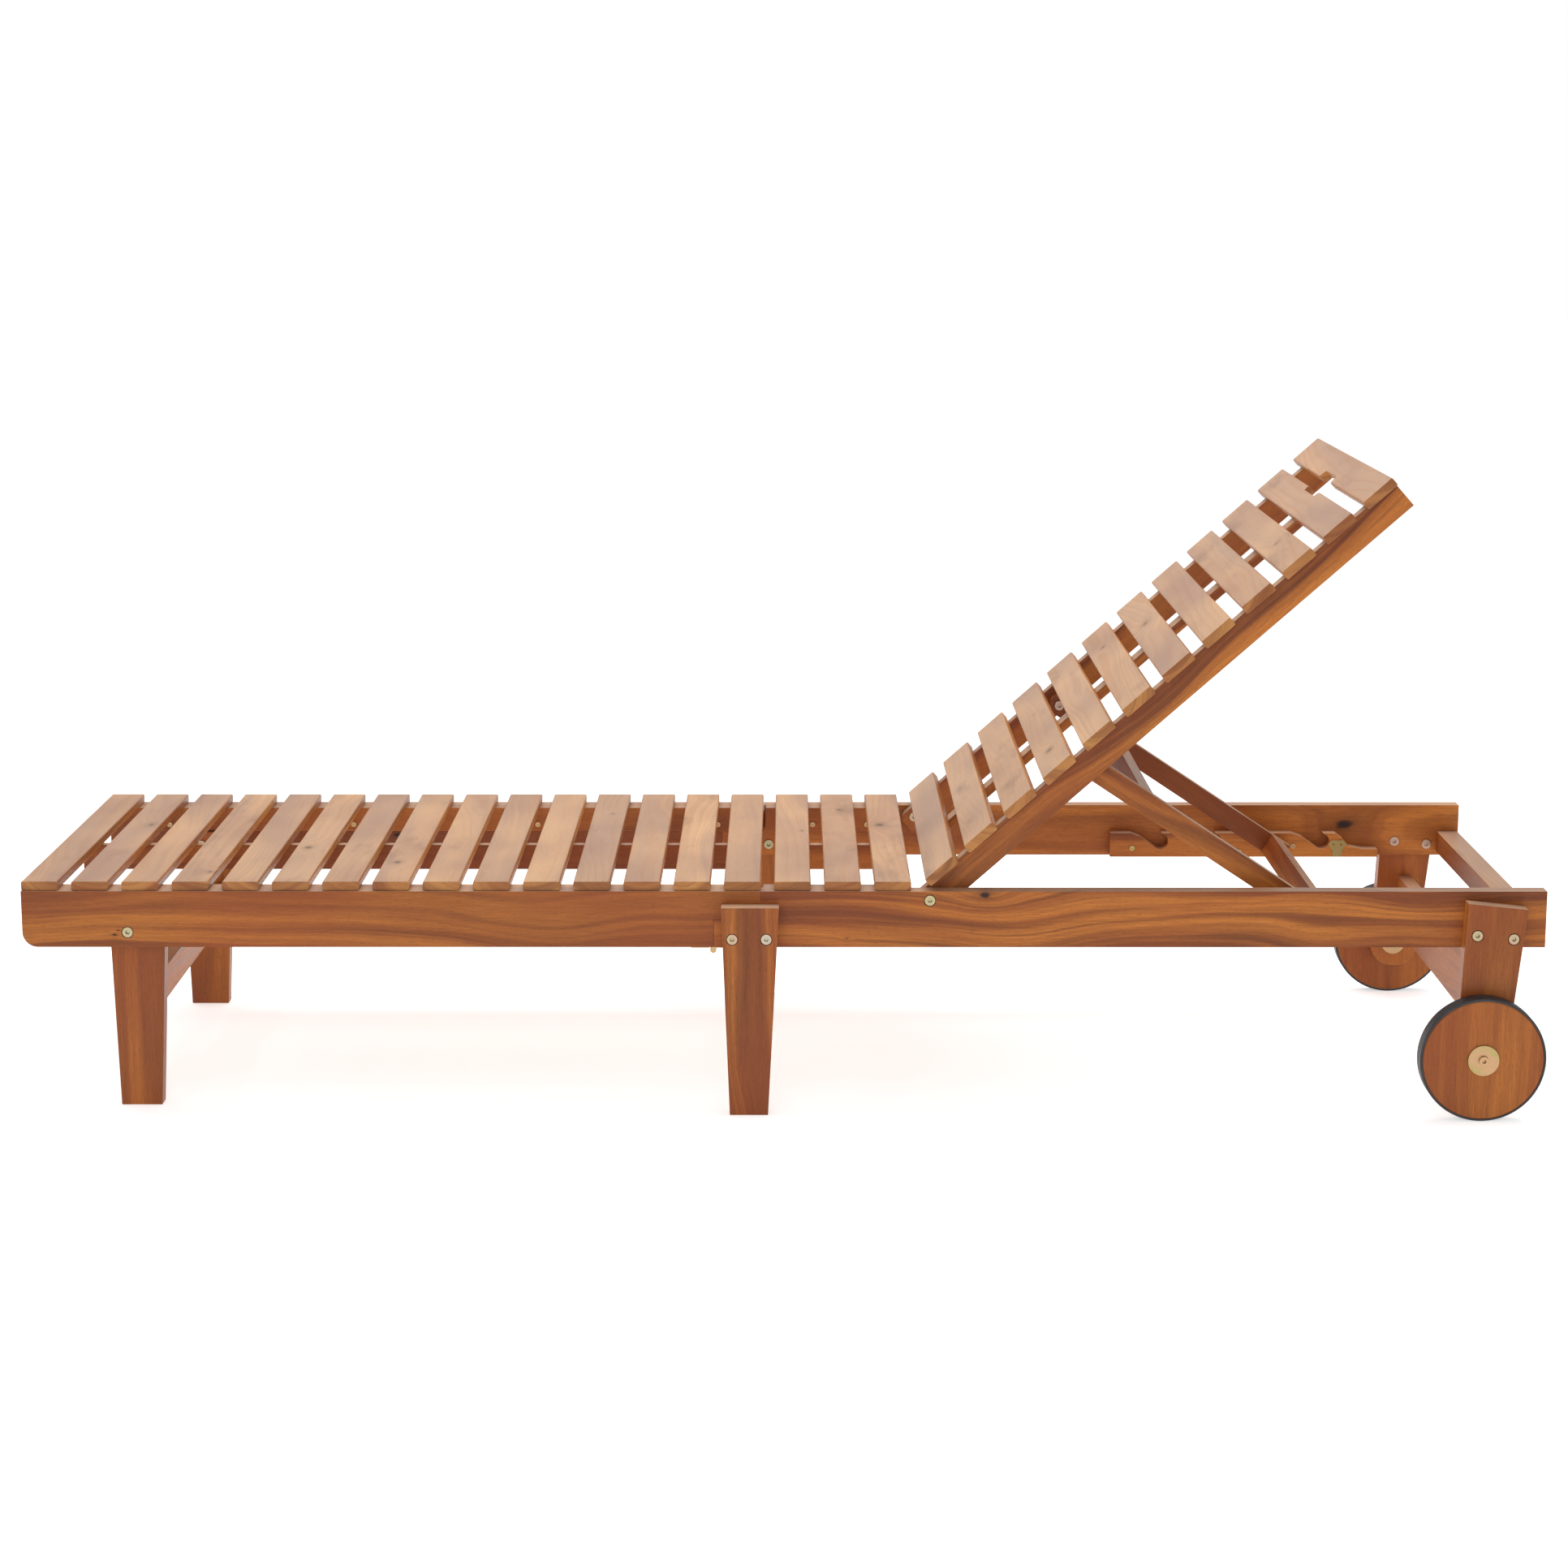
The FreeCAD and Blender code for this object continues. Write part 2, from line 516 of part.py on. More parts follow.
def prop_bars():
    """The prop's two cross bars: the lower one has round ends that stand out past the arms."""
    between = "prop_side - arm_thick"
    section = {"prop_lower_bar": ("prop_length - bar_low_half", "2 * bar_low_half",
                                  "-arm_half", "2 * arm_half"),
               "prop_upper_bar": ("bar_high_mid - bar_high_half", "2 * bar_high_half",
                                  "-bar_high_under", "bar_high_under + arm_half")}
    for label, (start, wide, low, tall) in section.items():
        timber = box(label + "_timber", wide, f"2 * ({between})", tall, start, f"-({between})", low)
        if label == "prop_lower_bar":
            spindle = rod("prop_rod", "rod_radius", "2 * rod_tip", "prop_length", "-rod_tip", "0")
            timber = fuse(label + "_solid", [timber, spindle])
        node = keep(group(label, [timber]))
        tilt(node, f"-({PROP_ANGLE})")
        place(node, PROP_X, "0", PROP_Z)


def centre_lath():
    """A thin board down the middle of the backrest, under its slats."""
    lath = keep(box("backrest_centre_lath", "lath_long", "lath_wide", "slat_thick", "0", "0", "0"))
    tilt(lath, "recline")
    rise = "(back_face - slat_thick)"
    place(lath, f"pivot_x + lath_start * cos(recline * 1deg) - {rise} * sin(recline * 1deg)",
          "-lath_wide / 2",
          f"pivot_z + lath_start * sin(recline * 1deg) + {rise} * cos(recline * 1deg)")


def wheel(name, sign):
    """A turned wooden wheel with a rubber tyre, running on its axle bolt between two washers."""
    inner_side = "half_width + leg_thick + wheel_gap"

    def turned(part, radius, width, side):
        return rod(f"{part}_{name}", radius, width, "wheel_x", offset(sign, side), "tyre_radius", sign)

    rims = (1, 3)
    edges = doc.addObject("Part::Chamfer", f"wheel_edges_{name}")
    edges.Base = turned("wheel_disc", "wheel_radius", "wheel_width", inner_side)
    edges.Edges = [(rim, value_of("wheel_bevel"), value_of("wheel_bevel")) for rim in rims]
    bore = turned("wheel_bore", "axle_radius + running_fit", "wheel_width", inner_side)
    node = keep(cut(f"wheel_{name}", edges, bore))
    node.Label = f"wheel_{name}"
    shoulder = doc.addObject("Part::Fillet", f"tyre_shoulder_{name}")
    shoulder.Base = turned("tyre_outside", "tyre_radius", "wheel_width - 2 * tyre_inset",
                           inner_side + " + tyre_inset")
    shoulder.Edges = [(rim, value_of("tyre_shoulder"), value_of("tyre_shoulder")) for rim in rims]
    inside = turned("tyre_inside", "wheel_radius", "wheel_width", inner_side)
    keep(cut(f"tyre_{name}", shoulder, inside))


def axle_sets():
    """Each wheel's fixed ironwork: bolt, washers beside the wheel and inside the leg, and nut."""
    leg_out = "half_width + leg_thick"
    washer_side = f"({leg_out} + wheel_gap + wheel_width + washer_gap)"
    cap_side = f"({washer_side} + washer_thick)"
    end = f"({cap_side} + axle_cap)"
    inner_end = "(half_width - axle_inner_end)"
    members = []
    for name, sign in SIDES.items():
        def turned(part, radius, length, side, heading=1):
            return rod(f"axle_{part}_{name}", radius, length, "wheel_x", offset(sign, side),
                       "tyre_radius", sign * heading)

        solid = fuse(f"axle_solid_{name}", [
            turned("shank", "axle_radius", f"{end} - {inner_end}", inner_end),
            turned("spacer", "spacer_radius", "wheel_gap - washer_gap", leg_out),
            turned("washer", "washer_radius", "washer_thick", washer_side),
            turned("cap", "axle_cap_radius", "axle_cap", cap_side),
            turned("leg_washer", "leg_washer_radius", "leg_washer", "half_width", -1),
            turned("nut", "axle_nut_radius", "axle_nut", "half_width - leg_washer", -1)])
        socket = hex_socket(f"axle_socket_{name}", "key_size", "key_deep", "wheel_x", offset(sign, end),
                            "tyre_radius", -sign)
        members.append(cut(f"axle_{name}", solid, socket))
    keep(group("axle_bolts", members))


def bolts():
    head = []
    foot = []
    prop = []
    rail_in = "half_width - rail_thick"
    leg_out = "half_width + leg_thick"
    prop_in = "(prop_side - arm_thick - bolt_play)"
    for name, sign in SIDES.items():
        for index, (at_x, at_z) in enumerate(MID_BOLTS + WHEEL_BOLTS, start=1):
            head.append(connector(f"leg_bolt_{name}_{index}", at_x, at_z, sign,
                                  leg_out, rail_in, "sink_depth"))
        head.append(connector(f"recline_bolt_{name}", *RECLINE_BOLT, sign, "half_width",
                              "back_side - back_thick - bolt_play", "sink_depth"))
        foot.append(connector(f"front_bolt_{name}", *FRONT_BOLT, sign, "half_width",
                              "half_width - rail_thick - leg_thick", "sink_depth"))
        shank = rod(f"prop_bolt_{name}_shank", "bolt_radius",
                    f"back_side - back_thick + bolt_bite - {prop_in}",
                    PROP_X, offset(sign, prop_in), PROP_Z, sign)
        cap = rod(f"prop_bolt_{name}_cap", "cap_radius", "cap_thick",
                  PROP_X, offset(sign, prop_in), PROP_Z, -sign)
        socket = hex_socket(f"prop_bolt_{name}_socket", "key_size", "key_deep", PROP_X,
                            offset(sign, f"{prop_in} - cap_thick"), PROP_Z, sign)
        prop.append(cut(f"prop_bolt_{name}", fuse(f"prop_bolt_{name}_solid", [shank, cap]), socket))
    keep(group("head_frame_bolts", head))
    keep(group("front_leg_bolts", foot))
    keep(group("prop_pivot_bolts", prop))


def screws():
    batten_face = "half_width - rail_thick - batten_thick"
    rack_face = "half_width - rail_thick - rack_thick"
    foot = []
    head = []
    for name, sign in SIDES.items():
        for index, at_x in enumerate(FOOT_SCREWS, start=1):
            foot.append(screw(f"foot_screw_{name}_{index}", at_x, "screw_level", sign, batten_face))
        for index, at_x in enumerate(SEAT_SCREWS, start=1):
            head.append(screw(f"seat_screw_{name}_{index}", at_x, "screw_level", sign, batten_face))
        for index, (at_x, at_z) in enumerate(RACK_SCREWS, start=1):
            head.append(screw(f"rack_screw_{name}_{index}", at_x, at_z, sign, rack_face))
    keep(group("foot_batten_screws", foot))
    keep(group("head_frame_screws", head))


def keepers():
    """A small steel keeper on each rack's last tooth, with two screw holes and a narrow foot."""
    members = []
    rack_face = "half_width - rail_thick - rack_thick"
    outline = [("keeper_x - 14", "242"), ("keeper_x - 9", "248"), ("keeper_x + 9", "248"),
               ("keeper_x + 14", "242"), ("keeper_x + 7", "233"), ("keeper_x + 6", "rack_foot + 1.2"),
               ("keeper_x - 6", "rack_foot + 1.2"), ("keeper_x - 7", "233")]
    for name, sign in SIDES.items():
        body = new_body(f"keeper_plate_{name}")
        sketch = new_sketch(body, f"keeper_{name}_outline", "XZ_Plane")
        draw_polygon(sketch, outline)
        pad(body, sketch, f"keeper_{name}_pad", "keeper_thick", -sign)
        drill(body, "holes", [("keeper_x - 5.5", "242"), ("keeper_x + 5.5", "242")], "keeper_hole", -sign)
        place(body, at_y=offset(sign, rack_face))
        members.append(body)
    keep(group("rack_keepers", members))


def hinge_leaf(label, name, sign, heading, spans):
    """One leaf of a fold hinge with its share of the knuckle; heading is the leaf's way along x."""
    low_side = "-hinge_side" if sign < 0 else "hinge_side - hinge_wide"
    start = "hinge_x + knuckle_radius + leaf_play" if heading > 0 else "hinge_x - knuckle_radius - leaf_reach"
    plate = box(f"{label}_{name}_plate", "leaf_reach - leaf_play", "hinge_wide", "leaf_thick",
                start, low_side, f"{RAIL_FOOT} - leaf_thick")
    parts = [plate]
    for index, (begin, wide) in enumerate(spans, start=1):
        at_y = f"{low_side} + {begin}"
        parts.append(rod(f"{label}_{name}_knuckle_{index}", "knuckle_radius", wide,
                         "hinge_x", at_y, "hinge_z"))
        tab_start = "hinge_x" if heading > 0 else "hinge_x - knuckle_radius - 1"
        parts.append(box(f"{label}_{name}_tab_{index}", "knuckle_radius + 1", wide, "leaf_thick",
                         tab_start, at_y, f"{RAIL_FOOT} - leaf_thick"))
    return parts, low_side


def fold_hinges():
    """Butt hinges under the stepped lap, on which the foot frame folds down and under."""
    head = []
    foot = []
    for name, sign in SIDES.items():
        parts, low_side = hinge_leaf("head_leaf", name, sign, 1, [(0, 6), (14, 6)])
        pin = rod(f"hinge_pin_{name}", "hinge_pin", "hinge_wide", "hinge_x", low_side, "hinge_z")
        head.append(fuse(f"head_leaf_{name}", parts + [pin]))
        parts, low_side = hinge_leaf("foot_leaf", name, sign, -1, [(6.3, 7.4)])
        bore = rod(f"foot_leaf_{name}_bore", "hinge_pin + running_fit", "hinge_wide",
                   "hinge_x", low_side, "hinge_z")
        foot.append(cut(f"foot_leaf_{name}", fuse(f"foot_leaf_{name}_solid", parts), bore))
    keep(group("fold_hinge_head_leaves", head))
    keep(group("fold_hinge_foot_leaves", foot))


for side_name, side_sign in SIDES.items():
    side_rails(side_name, side_sign)
    legs(side_name, side_sign)
    rack(side_name, side_sign)
    backrest_frame(side_name, side_sign)
    prop_arm(side_name, side_sign)
    wheel(side_name, side_sign)
seat_slats()
back_slats()
under_slats()
cross_timbers()
prop_bars()
centre_lath()
axle_sets()
bolts()
screws()
keepers()
fold_hinges()
doc.recompute()

for item in doc.Objects:
    if "Invalid" in item.State or "Error" in item.State:
        raise RuntimeError(f"{item.Label} is {item.State}")
os.makedirs("parts", exist_ok=True)
for node in NODES:
    shape = node.Shape
    if shape.isNull() or not shape.isValid() or not shape.Solids:
        raise RuntimeError(f"{node.Label} has no valid shape")
    shape.exportStep(f"parts/{node.Label}.step")
    print(f"{node.Label}: {len(shape.Solids)} solid(s), {shape.Volume / 1000:.1f} cm3")
print(len(NODES), "nodes")
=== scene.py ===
import math
import bpy
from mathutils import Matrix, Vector


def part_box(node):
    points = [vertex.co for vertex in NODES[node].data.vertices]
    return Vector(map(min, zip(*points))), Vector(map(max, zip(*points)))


# Looks for the reclining sun lounger: oiled acacia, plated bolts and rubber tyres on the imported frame.
# Lengths are metres in the frame's own axes: +X the head end, -Y the side that the camera is on, +Z up.

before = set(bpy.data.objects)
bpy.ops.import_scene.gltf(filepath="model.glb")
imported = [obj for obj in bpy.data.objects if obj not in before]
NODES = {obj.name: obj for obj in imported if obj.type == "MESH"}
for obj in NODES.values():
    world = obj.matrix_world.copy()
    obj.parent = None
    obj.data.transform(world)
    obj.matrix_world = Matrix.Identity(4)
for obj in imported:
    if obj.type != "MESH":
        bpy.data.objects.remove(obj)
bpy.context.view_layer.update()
SIDES = ("left", "right")


def middle(node):
    low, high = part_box(node)
    return (low + high) / 2


BACK_SLOPE = (middle("hand_hole_slat_upper") - middle("hand_hole_slat_lower")).normalized()
BACK_NORMAL = BACK_SLOPE.cross(Vector((0, 1, 0)))
ARM_SLOPE = (middle("prop_lower_bar") - middle("prop_upper_bar")).normalized()
ARM_NORMAL = ARM_SLOPE.cross(Vector((0, 1, 0)))
SLAT_PITCH = middle("foot_slat_02").x - middle("foot_slat_01").x
SLAT_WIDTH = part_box("foot_slat_01")[1].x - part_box("foot_slat_01")[0].x
SLAT_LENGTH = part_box("foot_slat_01")[1].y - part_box("foot_slat_01")[0].y
BACK_PITCH = (middle("hand_hole_slat_upper") - middle("hand_hole_slat_lower")).length
ALONG = Vector((1, 0, 0))
ACROSS = Vector((0, 1, 0))
UPWARD = Vector((0, 0, 1))


def srgb(red, green, blue):
    """A colour given as 0 to 255 display values, as linear values."""
    return tuple(((part / 255 + 0.055) / 1.055) ** 2.4 if part > 10.3 else part / 3295
                 for part in (red, green, blue)) + (1.0,)


class Shader:
    """A short way to write a node tree: each call adds a node and returns its first output."""

    def __init__(self, name):
        self.material = bpy.data.materials.new(name)
        self.material.use_nodes = True
        self.tree = self.material.node_tree
        self.tree.nodes.clear()
        self.surface = self.add("ShaderNodeBsdfPrincipled")
        output = self.add("ShaderNodeOutputMaterial")
        self.tree.links.new(self.surface.outputs[0], output.inputs["Surface"])

    def add(self, kind, **settings):
        node = self.tree.nodes.new(kind)
        for key, value in settings.items():
            setattr(node, key, value)
        return node

    def feed(self, socket, value):
        if isinstance(value, bpy.types.NodeSocket):
            self.tree.links.new(value, socket)
        elif isinstance(value, Vector):
            socket.default_value = tuple(value)
        else:
            socket.default_value = value

    def set(self, **inputs):
        for name, value in inputs.items():
            self.feed(self.surface.inputs[name.replace("_", " ")], value)

    def math(self, operation, *values, clamp=False):
        node = self.add("ShaderNodeMath", operation=operation, use_clamp=clamp)
        for socket, value in zip(node.inputs, values):
            self.feed(socket, value)
        return node.outputs[0]

    def vector(self, operation, first, second=None, scale=None):
        node = self.add("ShaderNodeVectorMath", operation=operation)
        self.feed(node.inputs[0], first)
        if second is not None:
            self.feed(node.inputs[1], second)
        if scale is not None:
            self.feed(node.inputs["Scale"], scale)
        return node.outputs["Value" if operation in ("DOT_PRODUCT", "LENGTH") else "Vector"]

    def combine(self, *values):
        node = self.add("ShaderNodeCombineXYZ")
        for socket, value in zip(node.inputs, values):
            self.feed(socket, value)
        return node.outputs[0]

    def noise(self, place, scale, detail=2.0, roughness=0.5, distortion=0.0):
        node = self.add("ShaderNodeTexNoise")
        for name, value in (("Vector", place), ("Scale", scale), ("Detail", detail),
                            ("Roughness", roughness), ("Distortion", distortion)):
            self.feed(node.inputs[name], value)
        return node.outputs[0]

    def ramp(self, amount, stops):
        """Steps from one grey level or colour to the next; each stop is (position, level)."""
        node = self.add("ShaderNodeValToRGB")
        elements = node.color_ramp.elements
        for index, (position, level) in enumerate(stops):
            element = elements[index] if index < 2 else elements.new(position)
            element.position = position
            element.color = level if isinstance(level, tuple) else (level, level, level, 1.0)
        self.feed(node.inputs[0], amount)
        return node.outputs[0]

    def mix(self, amount, first, second):
        node = self.add("ShaderNodeMix", data_type="RGBA")
        for name, value in (("Factor_Float", amount), ("A_Color", first), ("B_Color", second)):
            socket = next(item for item in node.inputs if item.identifier == name)
            self.feed(socket, value)
        return next(item for item in node.outputs if item.identifier == "Result_Color")

    def bump(self, height, distance, strength=1.0):
        node = self.add("ShaderNodeBump")
        for name, value in (("Height", height), ("Distance", distance), ("Strength", strength)):
            self.feed(node.inputs[name], value)
        return node.outputs[0]


# ---------------------------------------------------------------- wood
# Tones from pale to dark of the frame and of the slats, then the tints that vary them.
RAIL_TONES = (srgb(204, 126, 50), srgb(148, 79, 28), srgb(80, 36, 15))
SLAT_TONES = (srgb(216, 154, 84), srgb(172, 110, 58), srgb(104, 62, 36))
# painted sheen: the paler tan of the faces turned to the overhead light
PAINTED_SHEEN_TINT = srgb(216, 178, 142)
GREY_TINT = srgb(150, 128, 118)
SMUDGE = srgb(118, 100, 94)
RED_TINT = srgb(148, 68, 28)
STREAK = srgb(70, 36, 20)
KNOT = srgb(40, 22, 14)
RING_STEP = 0.0062
FIBRE_STEP = 0.0011
PORE_STEP = 0.0006
OIL_ROUGHNESS = 0.42
OIL_SHEEN = 0.28
NATURAL_E = 2.718

# from 0 to 1: how dark the slats' heartwood bands are, how much the faces turned to the overhead light
# take the paler tint of painted sheen and grey weathering, and how dark the slats' knots get
SLAT_DARK = 0.5
SEAT_SLAT_PALE = 0.66
BACK_SLAT_PALE = 0.72
FRAME_PALE = 0.75
SEAT_KNOT_DEPTH = 0.62
BACK_KNOT_DEPTH = 0.55

# how far sharp edges are eased
RAIL_EDGE = 0.0009
LEG_EDGE = 0.0014
RACK_EDGE = 0.0007
BACK_EDGE = 0.0012
SLAT_EDGE = 0.0010
WHEEL_EDGE = 0.0005
BOLT_EDGE = 0.0004
FITTING_EDGE = 0.0003


class Board:
    """The places inside one board that its grain is worked out from, as sockets of a shader."""

    def __init__(self, make, centre, grain, face, seed, split):
        self.make = make
        self.coords = make.add("ShaderNodeTexCoord").outputs["Object"]
        self.side = grain.cross(face)
        self.along = make.vector("DOT_PRODUCT", self.coords, grain)
        self.across = make.vector("DOT_PRODUCT", self.coords, self.side)
        self.deep = make.vector("DOT_PRODUCT", self.coords, face)
        self.from_face = make.math("SUBTRACT", self.deep, centre.dot(face))
        self.from_middle = make.math("SUBTRACT", self.across, centre.dot(self.side))
        number = seed
        if split:
            way, start, pitch = split
            distance = make.math("SUBTRACT", make.vector("DOT_PRODUCT", self.coords, way), start)
            step = make.math("DIVIDE", distance, pitch)
            number = make.math("ADD", make.math("FLOOR", step), seed)
            share = make.math("SUBTRACT", make.math("FRACT", step), 0.5)
            self.from_middle = make.math("MULTIPLY", share, pitch)
        own = make.add("ShaderNodeTexWhiteNoise", noise_dimensions="1D")
        make.feed(own.inputs["W"], number)
        luck = make.vector("SUBTRACT", own.outputs["Color"], Vector((0.5, 0.5, 0.5)))
        parts = make.add("ShaderNodeSeparateXYZ")
        make.feed(parts.inputs[0], luck)
        self.luck = parts.outputs
        self.shift = make.vector("SCALE", luck, scale=40.0)

    def noise(self, wide, long, detail=2.0, roughness=0.5, offset=0.0):
        """Noise with wide cells a metre across the board, and long cells a metre along it."""
        make = self.make
        place = make.combine(make.math("MULTIPLY", self.across, wide),
                             make.math("MULTIPLY", self.deep, wide),
                             make.math("MULTIPLY", self.along, long))
        moved = make.vector("ADD", place, self.shift)
        if offset:
            moved = make.vector("ADD", moved, Vector((offset, offset, offset)))
        return make.noise(moved, 1.0, detail, roughness)

    def bell(self, distance, width, power):
        """1 at no distance, falling to nothing past the width."""
        make = self.make
        share = make.math("POWER", make.math("DIVIDE", distance, width), power)
        return make.math("POWER", NATURAL_E, make.math("MULTIPLY", share, -1.0))

    def knots(self, spots, grain):
        """How dark the knots make each place, and how far they push the rings aside."""
        make = self.make
        dark = 0.0
        push = 0.0
        for place, radius in spots:
            gap = make.vector("SUBTRACT", self.coords, Vector(place))
            flat = make.combine(make.math("MULTIPLY", make.vector("DOT_PRODUCT", gap, grain), 0.55),
                                make.vector("DOT_PRODUCT", gap, self.side), 0.0)
            wobble = make.math("SUBTRACT", self.noise(55.0, 40.0, 3.0), 0.5)
            rough_edge = make.math("MULTIPLY", wobble, radius * 0.9)
            away = make.math("MAXIMUM", make.math("ADD", make.vector("LENGTH", flat), rough_edge), 0.0)
            core = self.bell(away, radius * 0.5, 4.0)
            halo = make.math("MULTIPLY", self.bell(away, radius, 2.0), 0.45)
            dark = make.math("MAXIMUM", dark, make.math("MAXIMUM", core, halo))
            swell = make.math("MULTIPLY", self.bell(away, radius * 2.4, 2.0), radius * 1.3)
            push = make.math("ADD", push, swell)
        return dark, push


def wood(name, grain, face, seed, tones, dark, pale, sheen_and_wear_way=None, split=None, knots=(), knot_depth=1.0):
    """Oiled wood: growth rings round a pith beside the board, colour bands, fibres, pores and knots.

    grain is the board's long way and face the normal of its wide side.
    dark, 0 to 1, is how strong the dark heartwood bands are.
    The way after pale says which faces take a painted sheen of the overhead light, mixed with grey
    weathering: those that point that way (along +face unless it is given); pale is how much they take it.
    split = (way, start, pitch) gives the boards of one node, or of a row of nodes, each its own grain.
    knots are (place, radius) pairs, and knot_depth is how dark they get.
    """
    make = Shader(name)
    board = Board(make, middle(name), grain, face, seed, split)
    knot_dark, ring_push = board.knots(knots, grain)

    # the distance from a pith that wanders beside the board gives arches and straight grain by turns
    wander = make.math("SUBTRACT", board.noise(5.0, 1.7), 0.5)
    pith_side = make.math("ADD", make.math("MULTIPLY", board.luck[0], 0.08),
                          make.math("MULTIPLY", wander, 0.12))
    pith_deep = make.math("ADD", make.math("MULTIPLY", board.luck[1], 0.05), -0.045)
    pith = make.combine(make.math("ADD", board.from_middle, pith_side),
                        make.math("ADD", board.from_face, pith_deep), 0.0)
    reach = make.math("ADD", make.vector("LENGTH", pith), ring_push)
    ripple = make.math("MULTIPLY", board.noise(38.0, 5.0, 3.0), 1.1)
    ring_place = make.math("ADD", make.math("DIVIDE", reach, RING_STEP), ripple)
    ring = make.ramp(make.math("FRACT", ring_place), [(0.0, 0.1), (0.5, 0.3), (0.85, 1.0), (1.0, 0.1)])
    fading = make.ramp(board.noise(12.0, 2.0, 2.0, 0.5, 3.0), [(0.35, 0.15), (0.7, 1.0)])
    ring = make.math("MULTIPLY", ring, fading)

    # broad and narrow bands of darker heartwood follow the rings
    def banding(rate, flow, offset, stops):
        place = make.combine(make.math("MULTIPLY", reach, rate), offset,
                             make.math("MULTIPLY", board.along, flow))
        return make.ramp(make.noise(make.vector("ADD", place, board.shift), 1.0, 3.0, 0.55), stops)

    broad = banding(42.0, 0.8, 0.0, [(0.40, 0.0), (0.58, 1.0)])
    narrow = banding(150.0, 1.4, 7.0, [(0.47, 0.0), (0.66, 1.0)])
    fibre = board.noise(1 / FIBRE_STEP, 26.0, 3.0, 0.6)
    pores = make.ramp(board.noise(1 / PORE_STEP, 110.0, 1.0), [(0.60, 0.0), (0.72, 1.0)])
    patch = board.noise(9.0, 4.0)
    smudge = make.ramp(board.noise(16.0, 6.0, 3.0, 0.6, 11.0), [(0.58, 0.0), (0.76, 1.0)])

    light, medium, heavy = tones
    colour = make.mix(broad, light, medium)
    tone = make.math("ADD", make.math("MULTIPLY", board.luck[2], 0.9), 0.40, clamp=True)
    colour = make.mix(make.math("MULTIPLY", tone, 0.5), colour, medium)
    colour = make.mix(make.math("MULTIPLY", narrow, dark * 0.75), colour, heavy)
    colour = make.mix(make.math("MULTIPLY", make.math("POWER", broad, 3.0), dark * 0.45), colour, heavy)
    colour = make.mix(make.math("MULTIPLY", ring, 0.26), colour, heavy)
    colour = make.mix(make.ramp(fibre, [(0.35, 0.0), (0.70, 0.34)]), colour, heavy)
    colour = make.mix(make.math("MULTIPLY", pores, 0.38), colour, STREAK)
    colour = make.mix(make.ramp(patch, [(0.35, 0.0), (0.75, 0.45)]), colour, RED_TINT)

    # cut ends soak up more oil, so they are darker
    normal = make.add("ShaderNodeTexCoord").outputs["Normal"]
    endwise = make.math("ABSOLUTE", make.vector("DOT_PRODUCT", normal, grain))
    end = make.ramp(endwise, [(0.7, 0.0), (0.95, 0.20)])
    colour = make.mix(end, colour, heavy)

    # painted sheen: faces turned to the overhead light are made paler, as if lit from above; the grey
    # patches and smudges mixed into that paler tint are weathering
    sheen_and_wear_mask = make.ramp(make.vector("DOT_PRODUCT", normal, sheen_and_wear_way or face), [(0.55, 0.0), (0.95, 1.0)])
    sheen_and_wear_colour = make.mix(make.ramp(patch, [(0.30, 0.0), (0.70, 0.70)]), PAINTED_SHEEN_TINT, GREY_TINT)
    sheen_and_wear_colour = make.mix(make.math("MULTIPLY", tone, 0.35), sheen_and_wear_colour, GREY_TINT)
    sheen_and_wear_colour = make.mix(make.math("MULTIPLY", ring, 0.34), sheen_and_wear_colour, medium)
    sheen_and_wear_colour = make.mix(make.math("MULTIPLY", smudge, 0.62), sheen_and_wear_colour, SMUDGE)
    colour = make.mix(make.math("MULTIPLY", sheen_and_wear_mask, pale), colour, sheen_and_wear_colour)
    if knots:
        colour = make.mix(make.math("MULTIPLY", knot_dark, knot_depth), colour, KNOT)

    relief = make.math("ADD", make.math("MULTIPLY", ring, 0.5), make.math(
        "SUBTRACT", fibre, make.math("MULTIPLY", pores, 0.9)))
    rough = make.math("ADD", OIL_ROUGHNESS, make.math("MULTIPLY", make.math("SUBTRACT", fibre, broad), 0.10))
    make.set(Base_Color=colour, Roughness=rough, Normal=make.bump(relief, 0.00014, 0.8),
             Specular_IOR_Level=OIL_SHEEN)
    return make.material


# ---------------------------------------------------------------- metals and rubber
def plated(name, tones, roughness, seed):
    """Passivated zinc: the plating's colour drifts from bolt to bolt and a little within each."""
    make = Shader(name)
    coords = make.vector("ADD", make.add("ShaderNodeTexCoord").outputs["Object"], Vector((seed, seed, seed)))
    drift = make.math("ADD", make.math("MULTIPLY", make.noise(coords, 14.0, 1.0), 0.7),
                      make.math("MULTIPLY", make.noise(coords, 260.0, 2.0), 0.3))
    colour = make.ramp(drift, [(0.30, tones[0]), (0.46, tones[1]), (0.56, tones[2]), (0.72, tones[0])])
    grime = make.noise(coords, 900.0, 3.0)
    rough = make.math("ADD", roughness, make.math("MULTIPLY", grime, 0.12))
    make.set(Base_Color=colour, Roughness=rough, Metallic=1.0, Normal=make.bump(grime, 0.00004, 0.4))
    return make.material


def rubber(name):
    """Moulded rubber: nearly black, dusty on the tread, with a fine pebble."""
    make = Shader(name)
    coords = make.add("ShaderNodeTexCoord").outputs["Object"]
    dust = make.ramp(make.noise(coords, 38.0, 4.0), [(0.40, 0.0), (0.80, 0.55)])
    colour = make.mix(dust, srgb(34, 35, 38), srgb(74, 74, 76))
    pebble = make.noise(coords, 1500.0, 2.0)
    rough = make.math("ADD", 0.50, make.math("MULTIPLY", dust, 0.2))
    make.set(Base_Color=colour, Roughness=rough, Normal=make.bump(pebble, 0.00008, 0.5))
    return make.material


def dress(node, material):
    """Give a CAD node this one material."""
    slots = NODES[node].data.materials
    slots.clear()
    slots.append(material)


